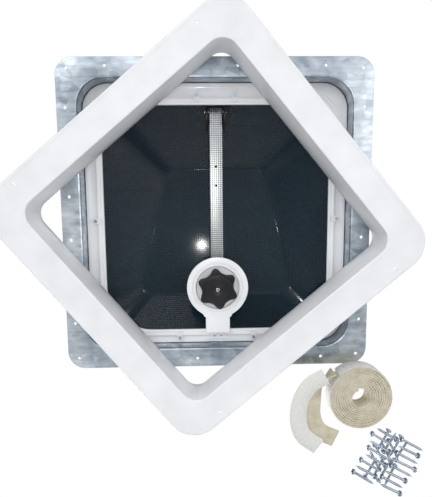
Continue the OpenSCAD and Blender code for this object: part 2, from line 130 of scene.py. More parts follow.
def arc_profile(centre, radius, start, end, steps=6):
    """Points (half, z) on an arc from start to end degrees."""
    points = []
    for k in range(steps + 1):
        a = math.radians(start + (end - start) * k / steps)
        points.append((centre[0] + radius * math.cos(a), centre[1] + radius * math.sin(a)))
    return points


def interpolate(value, table):
    """Piecewise linear value from a table of (key, result)."""
    for (a, fa), (b, fb) in zip(table, table[1:]):
        if value <= b:
            return fa + (fb - fa) * max(0.0, (value - a) / (b - a))
    return table[-1][1]


def square_sweep(name, profile, corners, shift=0.0):
    """A closed profile of (half, z) points swept round a square; corners maps half width to radius."""
    loops = [square_loop(h, interpolate(h, corners), z, shift) for h, z in profile]
    return finish_mesh(name, *bridge(loops, closed=True))


def polar_loop(radius, z, centre, count):
    """Points round a centre; radius and z are numbers or functions of the angle."""
    points = []
    for i in range(count):
        a = 2 * math.pi * i / count
        r = radius(a) if callable(radius) else radius
        h = z(a) if callable(z) else z
        points.append((centre[0] + r * math.cos(a), centre[1] + r * math.sin(a), h))
    return points


def drill(obj, cutters):
    """Cuts closed cutter meshes, each a (verts, faces) pair in millimetres, out of obj."""
    verts, faces = [], []
    for v, f in cutters:
        faces += [tuple(len(verts) + i for i in face) for face in f]
        verts += v
    tool = finish_mesh("cutter", verts, faces)
    cut = obj.modifiers.new("cut", "BOOLEAN")
    cut.object = tool
    cut.solver = "EXACT"
    cut.use_self = False
    apply_modifiers(obj)
    bpy.data.objects.remove(tool)


def apply_modifiers(obj):
    """Puts the modified mesh in place of the modifiers."""
    bpy.context.view_layer.update()
    shaped = obj.evaluated_get(bpy.context.evaluated_depsgraph_get())
    done = bpy.data.meshes.new_from_object(shaped)
    obj.modifiers.clear()
    obj.data = done
    done.set_sharp_from_angle(angle=math.radians(HARD_EDGE))


def rod(centre, axis, radius, length, sides=24):
    """A closed cylinder as points and faces, for drilling."""
    turn = Vector((0, 0, 1)).rotation_difference(Vector(axis)).to_matrix()
    loops = []
    for end in (-0.5, 0.5):
        loop = []
        for i in range(sides):
            a = 2 * math.pi * i / sides
            point = turn @ Vector((radius * math.cos(a), radius * math.sin(a), end * length))
            loop.append(tuple(point + Vector(centre)))
        loops.append(loop)
    return bridge(loops, caps=(True, True))


def box(low, high, turn=0.0):
    """A closed box as points and faces, turned about its own centre."""
    mid = [(a + b) / 2 for a, b in zip(low, high)]
    corners = [(low[0], low[1]), (high[0], low[1]), (high[0], high[1]), (low[0], high[1])]
    loops = []
    for z in (low[2], high[2]):
        loop = []
        for x, y in corners:
            dx, dy = turned(x - mid[0], y - mid[1], turn)
            loop.append((mid[0] + dx, mid[1] + dy, z))
        loops.append(loop)
    return bridge(loops, caps=(True, True))


def place(obj, move, spin):
    """Turns a mesh about Z and moves it, in millimetres, leaving the object at the origin."""
    obj.data.transform(Matrix.Translation(Vector(move) * MM) @ Matrix.Rotation(spin, 4, "Z"))


def adopt(obj, body, slot, material, *nodes):
    """Says what the piece rides on, replaces and is made of."""
    obj.data.materials.clear()
    obj.data.materials.append(material)
    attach(obj, body)
    if nodes:
        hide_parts(*nodes)


# ----------------------------------------------------------------- materials

class Surface:
    """A Principled material with a few node helpers; textures run in object space."""

    def __init__(self, name, metallic=0.0, specular=0.5, coat=0.0, coat_roughness=0.1):
        self.material = bpy.data.materials.new(name)
        self.material.use_nodes = True
        self.nodes = self.material.node_tree.nodes
        self.links = self.material.node_tree.links
        self.shader = self.nodes["Principled BSDF"]
        self.shader.inputs["Metallic"].default_value = metallic
        self.shader.inputs["Specular IOR Level"].default_value = specular
        self.shader.inputs["Coat Weight"].default_value = coat
        self.shader.inputs["Coat Roughness"].default_value = coat_roughness
        self.space = self.nodes.new("ShaderNodeTexCoord").outputs["Object"]

    def mapped(self, scale=(1, 1, 1), turn=(0, 0, 0)):
        node = self.nodes.new("ShaderNodeMapping")
        node.inputs["Scale"].default_value = scale
        node.inputs["Rotation"].default_value = turn
        self.links.new(self.space, node.inputs["Vector"])
        return node.outputs["Vector"]

    def noise(self, scale, detail, vector=None, distortion=0.0):
        node = self.nodes.new("ShaderNodeTexNoise")
        node.inputs["Scale"].default_value = scale
        node.inputs["Detail"].default_value = detail
        node.inputs["Distortion"].default_value = distortion
        self.links.new(vector or self.space, node.inputs["Vector"])
        return node.outputs["Fac"]

    def cells(self, scale, vector, output="Color"):
        node = self.nodes.new("ShaderNodeTexVoronoi")
        node.inputs["Scale"].default_value = scale
        self.links.new(vector, node.inputs["Vector"])
        return node.outputs[output]

    def ramp(self, value, stops):
        node = self.nodes.new("ShaderNodeValToRGB")
        while len(node.color_ramp.elements) < len(stops):
            node.color_ramp.elements.new(0.5)
        for element, (at, colour) in zip(node.color_ramp.elements, stops):
            element.position = at
            element.color = (*colour, 1)
        self.links.new(value, node.inputs["Fac"])
        return node.outputs["Color"]

    def blend(self, factor, a, b, mode="MIX"):
        node = self.nodes.new("ShaderNodeMix")
        node.data_type = "RGBA"
        node.blend_type = mode
        node.inputs[0].default_value = factor
        self.links.new(a, node.inputs[6])
        self.links.new(b, node.inputs[7])
        return node.outputs[2]

    def spread(self, value, low, high):
        node = self.nodes.new("ShaderNodeMapRange")
        node.inputs["To Min"].default_value = low
        node.inputs["To Max"].default_value = high
        self.links.new(value, node.inputs["Value"])
        return node.outputs["Result"]

    def colour(self, output):
        self.links.new(output, self.shader.inputs["Base Color"])

    def roughness(self, output):
        self.links.new(output, self.shader.inputs["Roughness"])

    def bump(self, height, distance, strength):
        node = self.nodes.new("ShaderNodeBump")
        node.inputs["Distance"].default_value = distance
        node.inputs["Strength"].default_value = strength
        self.links.new(height, node.inputs["Height"])
        self.links.new(node.outputs["Normal"], self.shader.inputs["Normal"])


def plain_surface(name, dark, light, rough, grain_scale, grain_depth, blotch_scale=25.0, **shader):
    """Moulded or coated surface: slow colour drift, uneven gloss and fine grain."""
    s = Surface(name, **shader)
    s.colour(s.ramp(s.noise(blotch_scale, 4.0), [(0.3, dark), (0.7, light)]))
    s.roughness(s.spread(s.noise(blotch_scale * 3, 2.0), rough[0], rough[1]))
    s.bump(s.noise(grain_scale, 2.0), grain_depth, 0.5)
    return s.material


def brushed_surface(name, dark, light, rough, along, scale=900.0):
    """Metal with fine scratches; along squashes the noise on the axis that the scratches run along."""
    s = Surface(name, metallic=1.0)
    lines = s.noise(scale, 3.0, s.mapped(along))
    s.colour(s.blend(0.35, s.ramp(lines, [(0.3, dark), (0.7, light)]),
                     s.ramp(s.noise(18.0, 4.0), [(0.35, dark), (0.65, light)])))
    s.roughness(s.spread(lines, rough[0], rough[1]))
    s.bump(lines, 0.00004, 0.4)
    return s.material


def galvanised_surface():
    """Zinc spangle: angular crystals of different brightness under a slow smoky drift."""
    s = Surface("galvanised", metallic=1.0)
    spangle = 70.0
    warped = s.mapped((1, 1.6, 1), (0, 0, 0.5))
    crystals = s.ramp(s.cells(spangle, warped), [(0.1, (0.26, 0.31, 0.36)), (0.9, (0.70, 0.75, 0.80))])
    drift = s.ramp(s.noise(7.0, 5.0, distortion=1.5),
                   [(0.36, (0.28, 0.33, 0.38)), (0.52, (0.62, 0.67, 0.72)), (0.7, (0.92, 0.94, 0.96))])
    streaks = s.ramp(s.noise(60.0, 3.0, s.mapped((0.25, 2.5, 1), (0, 0, 0.9))),
                     [(0.35, (0.6, 0.64, 0.68)), (0.65, (1, 1, 1))])
    s.colour(s.blend(0.55, s.blend(0.6, crystals, drift), streaks, "MULTIPLY"))
    s.roughness(s.spread(s.cells(spangle, warped, "Distance"), 0.22, 0.5))
    s.bump(s.noise(160.0, 3.0), 0.00008, 0.5)
    return s.material


def smoke_surface():
    """Smoke-tinted clear plastic with faint flow lines."""
    s = Surface("smoke_polycarbonate", specular=0.3)
    s.shader.inputs["Transmission Weight"].default_value = 0.45
    s.shader.inputs["IOR"].default_value = 1.5
    s.colour(s.ramp(s.noise(6.0, 3.0), [(0.3, (0.008, 0.036, 0.060)), (0.7, (0.015, 0.050, 0.078))]))
    s.roughness(s.spread(s.noise(14.0, 4.0), 0.06, 0.13))
    s.bump(s.noise(9.0, 2.0), 0.0004, 0.35)
    return s.material


def putty_surface():
    """Soft sealing tape: warm beige, slightly mottled and dusty."""
    s = Surface("sealing_putty", specular=0.3)
    s.colour(s.ramp(s.noise(90.0, 5.0), [(0.3, (0.47, 0.42, 0.31)), (0.7, (0.63, 0.575, 0.45))]))
    s.roughness(s.spread(s.noise(200.0, 2.0), 0.55, 0.8))
    s.bump(s.noise(700.0, 4.0), 0.0002, 0.7)
    return s.material


def paper_surface():
    """Waxed release paper with fibres and faint cross ribs."""
    s = Surface("liner_paper", specular=0.35)
    fibres = s.noise(900.0, 4.0, s.mapped((1, 0.3, 1)))
    s.colour(s.ramp(fibres, [(0.3, (0.62, 0.61, 0.58)), (0.7, (0.76, 0.75, 0.72))]))
    s.roughness(s.spread(s.noise(150.0, 2.0), 0.4, 0.6))
    s.bump(fibres, 0.0001, 0.5)
    return s.material


GALVANISED = galvanised_surface()
SMOKE = smoke_surface()
PUTTY = putty_surface()
PAPER = paper_surface()
WHITE = plain_surface("white_abs", (0.77, 0.775, 0.79), (0.84, 0.845, 0.86), (0.26, 0.40),
                      2600.0, 0.00003, coat=0.15)
CLIP = plain_surface("clip_plastic", (0.70, 0.70, 0.72), (0.79, 0.79, 0.80), (0.4, 0.55), 2200.0, 0.00004)
KNOB = plain_surface("knob_black", (0.008, 0.008, 0.009), (0.018, 0.018, 0.02), (0.22, 0.42),
                     1500.0, 0.00005, specular=0.3)
NYLON = plain_surface("case_nylon", (0.05, 0.052, 0.055), (0.10, 0.103, 0.108), (0.45, 0.65),
                      1800.0, 0.00008)
ACETAL = plain_surface("worm_acetal", (0.62, 0.54, 0.36), (0.72, 0.65, 0.46), (0.3, 0.45), 1600.0, 0.00004)
RUBBER = plain_surface("black_rubber", (0.012, 0.012, 0.013), (0.03, 0.03, 0.032), (0.6, 0.85),
                       900.0, 0.0002)
FOAM = plain_surface("gasket_foam", (0.02, 0.02, 0.022), (0.05, 0.05, 0.054), (0.8, 0.95), 1100.0, 0.0005)
MESH = plain_surface("screen_mesh", (0.005, 0.009, 0.013), (0.010, 0.017, 0.024), (0.5, 0.7),
                     3000.0, 0.00005, 60.0, specular=0.12)
ZINC = brushed_surface("zinc_plate", (0.22, 0.27, 0.33), (0.58, 0.64, 0.71), (0.16, 0.32), (1, 1, 1), 300.0)
STEEL = brushed_surface("steel_pin", (0.42, 0.42, 0.43), (0.66, 0.66, 0.67), (0.2, 0.34), (0.05, 1, 1))
ALUMINIUM = brushed_surface("arm_aluminium", (0.74, 0.76, 0.77), (0.90, 0.92, 0.92), (0.24, 0.4),
                            (1, 0.03, 1))


# -------------------------------------------------------------------- flange

def roof_flange():
    """Galvanised sheet: flange with a rolled lip, a soft bend into the neck, and an outward hem on top."""
    sheet, bend, top = 1.0, 3.0, 42.0
    corners = [(NECK_HALF, NECK_CORNER), (NECK_HALF + 3, NECK_CORNER + 1), (FLANGE_HALF, 25)]
    profile = arc_profile((FLANGE_HALF - 0.5, 0.5), 0.5, 90, -90, 5)
    profile += arc_profile((NECK_HALF + bend, bend), bend, -90, -180, 6)
    profile += arc_profile((NECK_HALF + 1.25, top - 1.25), 1.25, 180, 0, 8)
    profile += [(NECK_HALF + 2.5, top - 3), (NECK_HALF + 1.6, top - 3.4), (NECK_HALF + sheet, top - 3.6)]
    profile += arc_profile((NECK_HALF + bend, bend), bend - sheet, -180, -90, 6)
    flange = square_sweep("flange_sheet", profile, corners)
    corner_hole, edge_line, rivet_line = 207, 210.5, 33
    screw_hole, rivet_hole = 2.25, 2.0
    holes = []
    for quarter in range(4):
        for along in (-154, -31, 31, 154, corner_hole):
            out = corner_hole if along == corner_hole else edge_line
            x, y = turned(along, out, quarter * math.pi / 2)
            holes.append(rod((x, y, 0), (0, 0, 1), screw_hole, 8))
    for quarter in (1, 2, 3):
        for along in (-120, 0, 120):
            x, y = turned(along, NECK_HALF, quarter * math.pi / 2)
            holes.append(rod((x, y, rivet_line), (x, y, 0), rivet_hole, 12))
    for along in (-150, -80, -40, 40, 80, 150):
        holes.append(rod((along, NECK_HALF, rivet_line), (0, 1, 0), rivet_hole, 12))
    drill(flange, holes)
    adopt(flange, "vent", "galvanised_steel", GALVANISED, "roof_flange")


# ----------------------------------------------------- inner frame and screen

def inner_frame():
    """White moulding riveted inside the neck, with a rounded ledge that the screen frame lies against."""
    outer, ledge, wall = NECK_HALF - 0.6, 172.0, 2.0
    corners = [(ledge, 73), (ledge + 6, 64), (outer - wall, 35.4), (outer, 37.4)]
    profile = arc_profile((ledge + 1.2, INNER_Z + 1.2), 1.2, -180, -90, 4)
    profile += [(ledge + 5.5, INNER_Z), (ledge + 6.2, INNER_Z + 0.35)]
    profile += [(outer - 6.5, INNER_Z + 0.35), (outer - 5.8, INNER_Z)]
    profile += arc_profile((outer - 1, INNER_Z + 1), 1.0, -90, 0, 4)
    profile += [(outer, 38.4), (outer - 0.6, 39), (outer - wall + 0.6, 39), (outer - wall, 38.4)]
    profile += [(outer - wall, INNER_Z + 4), (outer - wall - 1, INNER_Z + 3)]
    profile += [(ledge + 1.2, INNER_Z + 3), (ledge, INNER_Z + 1.8)]
    loops = []
    for half, z in profile:
        shift = interpolate(half, [(ledge + 5.4, SCREEN_SHIFT), (outer - 6.4, 0), (outer, 0)])
        loops.append(square_loop(half, interpolate(half, corners), z, shift))
    body = finish_mesh("inner_moulding", *bridge(loops, closed=True))
    cuts = []
    for x in (-10, 10):
        cuts.append(box((x - 2, 188, INNER_Z - 1), (x + 2, 190, INNER_Z + 1.2)))
        cuts.append(box((x - 2.6, 182.5, INNER_Z - 1), (x + 2.6, 185, INNER_Z + 1.2)))
    cuts.append(box((-13, -outer - 2, INNER_Z - 1), (13, -188, INNER_Z + 2.4)))
    for aside in (-1.7, 1.7):
        x, y = -166 - aside, 166 + aside
        cuts.append(box((x - 11, y - 0.6, INNER_Z - 1), (x + 11, y + 0.6, INNER_Z + 1.2), math.radians(45)))
    drill(body, cuts)
    adopt(body, "vent", "white_abs", WHITE, "inner_frame")


def screen_frame():
    """Flat white frame with a soft inner lip and a raised outer bead."""
    inner, outer, low, high = 167.0, 176.6, INNER_Z - 3.6, INNER_Z - 0.4
    corners = [(inner, 68), (outer, 60)]
    profile = arc_profile((inner + 1.4, low + 1.4), 1.4, -180, -90, 5)
    profile += [(inner + 3.2, low), (inner + 3.6, low + 0.5), (outer - 3.4, low + 0.5), (outer - 3.0, low)]
    profile += arc_profile((outer - 0.9, low + 0.9), 0.9, -90, 0, 4)
    groove_in, groove_out, groove_floor = 169.2, 171.2, high - 2
    profile += [(outer, high), (groove_out, high), (groove_out, groove_floor)]
    profile += [(groove_in, groove_floor), (groove_in, high), (inner, high)]
    piece = square_sweep("screen_surround", profile, corners, SCREEN_SHIFT)
    adopt(piece, "vent", "white_abs", WHITE, "screen_frame")


def insect_screen():
    """Woven mesh: strands that pass over and under each other at every crossing."""
    pitch, radius, half, corner = 3.1, 0.27, 170.5, 71.0
    level = INNER_Z - 0.2
    hole = 15.0
    count = int(half / pitch)
    verts, faces = [], []

    def reach(offset):
        """Half length of a strand at this distance from the middle."""
        inside = abs(offset) - (half - corner)
        return half if inside <= 0 else half - corner + math.sqrt(max(0.0, corner ** 2 - inside ** 2))

    def strand(offset, crosswise, phase):
        span = reach(offset)
        steps = int(2 * span / pitch)
        loop_before = None
        for k in range(steps + 1):
            t = (k - steps / 2) * pitch
            x, y = (t, offset) if crosswise else (offset, t)
            if math.hypot(x, y - (KNOB_Y - SCREEN_SHIFT)) < hole:
                loop_before = None
                continue
            lift = radius * (1 if (k + phase) % 2 else -1)
            loop = len(verts)
            for a in range(4):
                side = radius * math.cos(math.pi * (a / 2 + 0.25)) * 1.3
                up = radius * math.sin(math.pi * (a / 2 + 0.25)) + lift
                dx, dy = (0, side) if crosswise else (side, 0)
                verts.append((x + dx, y + dy + SCREEN_SHIFT, level + up))
            if loop_before is not None:
                for a in range(4):
                    b = (a + 1) % 4
                    faces.append((loop_before + a, loop_before + b, loop + b, loop + a))
            loop_before = loop

    for i in range(-count, count + 1):
        steps = int(2 * reach(i * pitch) / pitch)
        strand(i * pitch, True, i + steps // 2)
        strand(i * pitch, False, i + steps // 2 + 1)
    mesh = bpy.data.meshes.new("screen_weave")
    mesh.from_pydata([[c * MM for c in v] for v in verts], [], faces)
    weave = bpy.data.objects.new("screen_weave", mesh)
    bpy.context.scene.collection.objects.link(weave)
    adopt(weave, "vent", "screen_mesh", MESH, "insect_screen")


# ------------------------------------------------------------------ operator

def operator_housing():
    """White disc with a round recess for the knob and a tab down to the frame."""
    disc, recess, half_tab, tab_end = 46.0, 32.4, 18.2, 69.6
    face, back, seat = 12.0, 14.5, 20.4

    def outline(grow):
        def radius(a):
            down = -math.sin(a)
            if down <= 0.2:
                return disc + grow
            side = abs(math.cos(a))
            tab = min((tab_end + grow) / down, (half_tab + grow) / max(side, 1e-6))
            blend = 3.0 * math.exp(-((side / down - 0.44) / 0.07) ** 2)
            return max(disc + grow + blend, tab)
        return radius

    def back_height(a):
        far = outline(0)(a)
        return back + (seat - back) * min(1.0, max(0.0, (far - 54) / 10))

    centre = (0, KNOB_Y)
    rings = [(outline(0), back_height), (outline(0), face + 1.2)]
    rings += [(outline(-0.35), face + 0.35), (outline(-1.2), face)]
    rings += [(recess + 5.2, face), (recess + 4.8, face + 0.35)]
    rings += [(recess + 1.6, face + 0.35), (recess + 1.2, face)]
    rings += [(recess + 0.8, face), (recess + 0.2, face + 0.4), (recess, face + 1)]
    rings += [(recess - 0.2, 15.4), (recess - 0.9, 16)]
    rings += [(12, 16), (11, 16.6), (6.5, 16.6), (6.5, 20.8), (35.4, 20.8), (35.4, back_height)]
    loops = [polar_loop(r, z, centre, 288) for r, z in rings]
    piece = finish_mesh("crank_housing", *bridge(loops, closed=True))
    adopt(piece, "vent", "white_abs", WHITE, "operator_housing")


def knob():
    """Black knob with six rounded lobes, a raised centre disc and a step round it."""
    def lobes(cut):
        def radius(a):
            wave = (1 + math.cos(6 * (a - math.radians(83)))) / 2
            return 23.7 + 6.8 * wave ** 1.5 - cut
        return radius

    rings = [(1.6, 0.5), (1.6, -2.4), (3.5, -2.4), (3.5, -3.7), (4.0, -4), (17.9, -4)]
    rings += [(18.8, -3.8), (19.3, -3.2), (19.3, -1.9), (20.0, -1.6)]
    rings += [(22.0, -1.5), (22.3, -1.1), (22.5, -0.6)]
    rings += [(lobes(2.2), -0.75), (lobes(0.9), -0.4), (lobes(0.3), 0.3), (lobes(0), 1.4), (lobes(0), 7.2)]
    rings += [(lobes(0.4), 8.3), (lobes(1.4), 9), (9, 9), (9, 13.8), (4, 13.8)]
    loops = [polar_loop(r, z, (0, KNOB_Y), 216) for r, z in rings]
    piece = finish_mesh("crank_knob", *bridge(loops, caps=(True, True)))
    adopt(piece, "crank", "knob_black", KNOB, "knob")


def screw_loops(length, shank, head, head_height, thread_pitch):
    """Loops of a pan head screw along +Z from its head: cross recess, head, thread and point."""
    def cross(size):
        def radius(a):
            near = abs((a + math.pi / 4) % (math.pi / 2) - math.pi / 4)
            return size * min(1.0 / math.cos(near), 0.27 / max(math.sin(near), 1e-3))
        return radius

    depth = head_height * 0.55
    rings = [(0.05, depth * 1.1), (cross(head * 0.22), depth)]
    rings += [(cross(head * 0.5), depth * 0.35), (cross(head * 0.55), 0.05)]
    rings += [(head * 0.66, 0.02), (head * 0.84, head_height * 0.12), (head * 0.96, head_height * 0.32)]
    rings += [(head, head_height * 0.55), (head, head_height * 0.9)]
    rings += [(head * 0.96, head_height), (shank, head_height)]
    core, step = shank * 0.72, thread_pitch / 6
    z = head_height + 0.4
    while z < length - 0.2:
        taper = min(1.0, (length - z) / (shank * 3))
        blend = min(1.0, (z - head_height) / thread_pitch)

        def thread(a, z=z, taper=taper, blend=blend):
            phase = (z / thread_pitch - a / (2 * math.pi)) % 1
            ridge = max(0.0, 1 - abs(2 * phase - 1) / 0.45)
            return (core + (shank - core) * ridge * blend) * taper
        rings.append((thread, z))
        z += step
    rings.append((0.05, length))
    return [polar_loop(r, z, (0, 0), SCREW_SIDES) for r, z in rings]


def screw_piece(name, placements, body, node, sizes):
    """Copies of one screw mesh at each placement matrix, joined in one piece."""
    verts, faces = bridge(screw_loops(*sizes), caps=(True, True))
    all_verts, all_faces = [], []
    for matrix in placements:
        start = len(all_verts)
        all_verts += [tuple(matrix @ Vector(v)) for v in verts]
        all_faces += [tuple(start + i for i in face) for face in faces]
    piece = finish_mesh(name, all_verts, all_faces, 40)
    adopt(piece, body, "zinc_screw", ZINC, node)


def knob_screw():
    """The one screw in the middle of the knob."""
    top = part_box("knob_screw")[0][2] / MM
    where = Matrix.Translation((0, KNOB_Y, top)) @ Matrix.Rotation(0.4, 4, "Z")
    screw_piece("crank_screw", [where], "crank", "knob_screw", (12, 1.45, 3.3, 2.0, 1.0))


# ------------------------------------------------------------------ lift arm

def lift_arm():
    """Aluminium channel with rolled edges, two holes, and cheeks that hold the pivot."""
    pivot_y, pivot_z, tip_y, tip_z = -74.0, 44.0, 157.0, 46.0
    half, wall, depth, bend = 10.6, 1.3, 7.5, 2.2
    reach = math.hypot(tip_y - pivot_y, tip_z - pivot_z)
    low, high = -depth / 2, depth / 2
    outline = [(half - wall, high)]
    outline += [(half - wall / 2, high), (half, high - 0.4)]
    outline += [(half - bend + bend * math.cos(a), low + bend + bend * math.sin(a)) for a in
                [-k / 5 * math.pi / 2 for k in range(6)]]
    inner_bend = bend - wall
    left = [(-x, z) for x, z in reversed(outline)]
    inside = [(-half + wall, high), (-(half - bend + inner_bend), low + bend)]
    inside += [(-(half - bend) - inner_bend * math.cos(a), low + bend - inner_bend * math.sin(a)) for a in
               [k / 4 * math.pi / 2 for k in range(1, 5)]]
    inside += [(-x, z) for x, z in reversed(inside)]
    section = outline + left + inside[1:-1]
    loops = [[(x, y, z) for x, z in section] for y in (0, 12, 60, 120, 180, reach + 4.4)]
    loops.append([(x * 0.985, reach + 5, z * 0.97) for x, z in section])
    verts, faces = bridge(loops, caps=(True, True))
    for side in (-1, 1):
        v, f = rod((side * (half - wall / 2), 0, 0), (1, 0, 0), 7, wall, 48)
        faces += [tuple(len(verts) + i for i in face) for face in f]
        verts += v
    arm = finish_mesh("arm_channel", verts, faces)
    cuts = [box((-half + wall, -10, low - 2), (half - wall, 12, high + 2))]
    for back in (81.5, 110):
        cuts.append(rod((0, reach - back, low), (0, 0, 1), 1.9, 8))
    drill(arm, cuts)
    lean = math.atan2(tip_z - pivot_z, tip_y - pivot_y)
    arm.data.transform(Matrix.Translation((0, pivot_y * MM, pivot_z * MM)) @ Matrix.Rotation(lean, 4, "X"))
    adopt(arm, "arm", "arm_aluminium", ALUMINIUM, "lift_arm")


# ----------------------------------------------------------------------- lid

def dome_lid():
    """Smoke dome: skirt, rolled rim, sloping sides and a top that narrows and climbs towards the hinge."""
    half, corner, wall = 203.0, 46.0, 2.5
    rear_y, front_y, rear_half, front_half = 78.0, -132.0, 82.0, 129.0
    rear_z, front_z = 111.0, 83.0
    rim = square_loop(half, corner, 0)
    top = []
    for x, y, _ in rim:
        across, along = x / half, y / half
        ahead = (along + 1) / 2
        width = front_half + (rear_half - front_half) * ahead
        top_x, top_y = across * width, front_y + (rear_y - front_y) * ahead
        top.append((top_x, top_y, front_z + (rear_z - front_z) * ahead))

    def skirt_foot(y):
        return 42.6 if y > 149 else 30.4

    loops = [[(x, y, skirt_foot(y)) for x, y, _ in rim]]
    for z in (44, 47.5):
        loops.append([(x, y, z) for x, y, _ in rim])
    for inset, z in ((0.7, 49.6), (2.6, 50.9)):
        loops.append([(x * (1 - inset / half), y * (1 - inset / half), z) for x, y, _ in rim])
    slope_foot = loops[-1]
    for t in (0.08, 0.3, 0.55, 0.8, 0.93, 0.985):
        loops.append([tuple(a + (b - a) * t for a, b in zip(p, q)) for p, q in zip(slope_foot, top)])
    middle_y = (rear_y + front_y) / 2
    climb = rear_z - front_z
    for t in (0.985, 0.93, 0.7, 0.4, 0.12):
        loop = []
        for x, y, _ in top:
            along = middle_y + (y - middle_y) * t
            loop.append((x * t, along, front_z + climb * (along - front_y) / (rear_y - front_y)))
        loops.append(loop)
    lid = finish_mesh("lid_shell", *bridge(loops, caps=(False, True)), sharp=180)
    smooth = lid.modifiers.new("round", "SUBSURF")
    smooth.levels = smooth.render_levels = 1
    shell = lid.modifiers.new("wall", "SOLIDIFY")
    shell.thickness = wall * MM
    shell.offset = -1
    apply_modifiers(lid)
    adopt(lid, "lid", "smoke_lid", SMOKE, "dome_lid")


# ----------------------------------------------------------------- trim ring

def garnish_ring():
    """White trim ring: flat face with rolled edges, tight fillet into a tall thin neck."""
    half, opening, neck, wall, depth = 222.0, 179.0, 177.0, 1.8, 42.0
    inner = neck - wall
    corners = [(inner, 20.2), (opening, 23), (opening + 3, 24.5), (half, 40)]
    profile = arc_profile((half - 2.2, 2.2), 2.2, 0, -90, 6)
    profile += [(half - 4.5, 0.0), (half - 5.1, 0.25), (half - 5.7, 0.25)]
    profile += [(opening + 5, 0.25), (opening + 3.5, 0.0)]
    profile += arc_profile((opening + 2.0, 1.6), 1.6, -90, -176, 6)
    profile += [(opening - 0.6, 4), (inner + 2.6, 8), (inner + 2.2, 9), (inner + 0.3, 31)]
    profile += [(inner, depth - 0.8), (inner + 0.4, depth), (neck - 0.4, depth), (neck, depth - 0.8)]
    profile += [(neck + 0.2, 12), (neck + 1.8, 8)]
    profile += [(neck + 2.6, 3), (opening + 4, 2.2), (half - 2.6, 2.2)]
    profile += [(half - 2, 2.8), (half - 2, 5.6), (half - 1.5, 6), (half - 0.5, 6), (half, 5.4)]
    ring = square_sweep("trim_ring_moulding", profile, corners)
    holes = [rod((x * 158.5, y * 209.5, 1), (0, 0, 1), 2.2, 10) for x in (-1, 1) for y in (-1, 1)]
    drill(ring, holes)
    place(ring, (*RING_CENTRE, FLOOR_Z), RING_TURN)
    adopt(ring, "trim_kit", "white_abs", WHITE, "garnish_ring")


# ------------------------------------------------------------- tape and paper

def ribbon(name, slices, thick, width, rib, rib_every):
    """Ribbon through slices of (point, across, out); rib thickens its outer side at every few slices."""
    section = []
    for side, up in ((-1, -1), (-1, 1), (1, 1), (1, -1)):
        for turn in (0, 1):
            inset = 0.25 if turn == (0 if side * up > 0 else 1) else 0.0
            section.append((side * (thick / 2 - inset), up * (width / 2 - (0.35 if not inset else 0))))
    loops = []
    for k, (point, across, out) in enumerate(slices):
        swell = rib if k % rib_every < rib_every / 2 else 0.0
        loop = []
        for t, w in section:
            away = t + (swell if t > 0 else 0)
            loop.append(tuple(Vector(point) + Vector(out) * away + Vector(across) * w))
        loops.append(loop)
    return finish_mesh(name, *bridge(loops, caps=(True, True)), sharp=50)


def tape_roll():
    """About ten turns of soft tape, with a ribbed paper on the outside of the last one."""
    low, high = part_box("sealing_tape_roll")
    centre = [(a + b) / 2 / MM for a, b in zip(low, high)]
    outer, core = (high[0] - low[0]) / 2 / MM, 11.0
    pitch = 3.25
    turns = (outer - core - pitch) / pitch
    total = int(turns * 300)
    slices = []
    for k in range(total + 1):
        a = 2 * math.pi * turns * k / total
        wobble = 0.12 * math.sin(5.3 * a) + 0.1 * math.sin(2.1 * a + 1)
        r = core + pitch / 2 + pitch * a / (2 * math.pi) + wobble
        end = math.radians(48) + 2 * math.pi * turns - a
        out = (math.cos(end), math.sin(end), 0)
        dip = 0.35 * math.sin(1.7 * a) * math.sin(0.61 * a)
        slices.append(((centre[0] + r * out[0], centre[1] + r * out[1], centre[2] + dip), (0, 0, 1), out))
    roll = ribbon("tape_roll_spiral", slices, 2.75, TAPE_WIDTH - 1.0, 0.22, 6)
    adopt(roll, "trim_kit", "sealing_putty", PUTTY, "sealing_tape_roll")
    paper_outside(roll, centre)


def paper_outside(piece, centre):
    """Gives the faces of a roll that look away from its middle the paper material."""
    piece.data.materials.append(PAPER)
    for face in piece.data.polygons:
        out = Vector((face.center.x - centre[0] * MM, face.center.y - centre[1] * MM, 0))
        if face.normal.dot(out.normalized()) > 0.6:
            face.material_index = 1


def smooth_path(points, steps):
    """Catmull-Rom curve through points."""
    ends = [points[0]] + points + [points[-1]]
    path = []
    for k in range(len(points) - 1):
        a, b, c, d = (Vector(p) for p in ends[k:k + 4])
        for s in range(steps):
            t = s / steps
            square = (2 * a - 5 * b + 4 * c - d) * t * t
            cube = (3 * b - a - 3 * c + d) * t ** 3
            path.append(0.5 * (2 * b + (c - a) * t + square + cube))
    path.append(Vector(points[-1]))
    return path


def loose_ribbon(name, points, thick, width, base, flat_from, rib):
    """Ribbon that starts on edge and leans over until it lies flat at the share flat_from of its length."""
    path = smooth_path([(x, y, 0) for x, y in points], 26)
    slices = []
    last = len(path) - 1
    for k, p in enumerate(path):
        run = (path[min(k + 2, last)] - path[max(k - 2, 0)]).normalized()
        share = min(1.0, k / last / flat_from) if flat_from else 1.0
        lean = math.pi / 2 * share * share * (3 - 2 * share)
        aside = Vector((run.y, -run.x, 0))
        across = Vector((0, 0, 1)) * math.cos(lean) + aside * math.sin(lean)
        out = aside * math.cos(lean) - Vector((0, 0, 1)) * math.sin(lean)
        lift = (width * math.cos(lean) + thick * math.sin(lean)) / 2
        slices.append((p + Vector((0, 0, base + lift)), across, out))
    return ribbon(name, slices, thick, width, rib, 4)


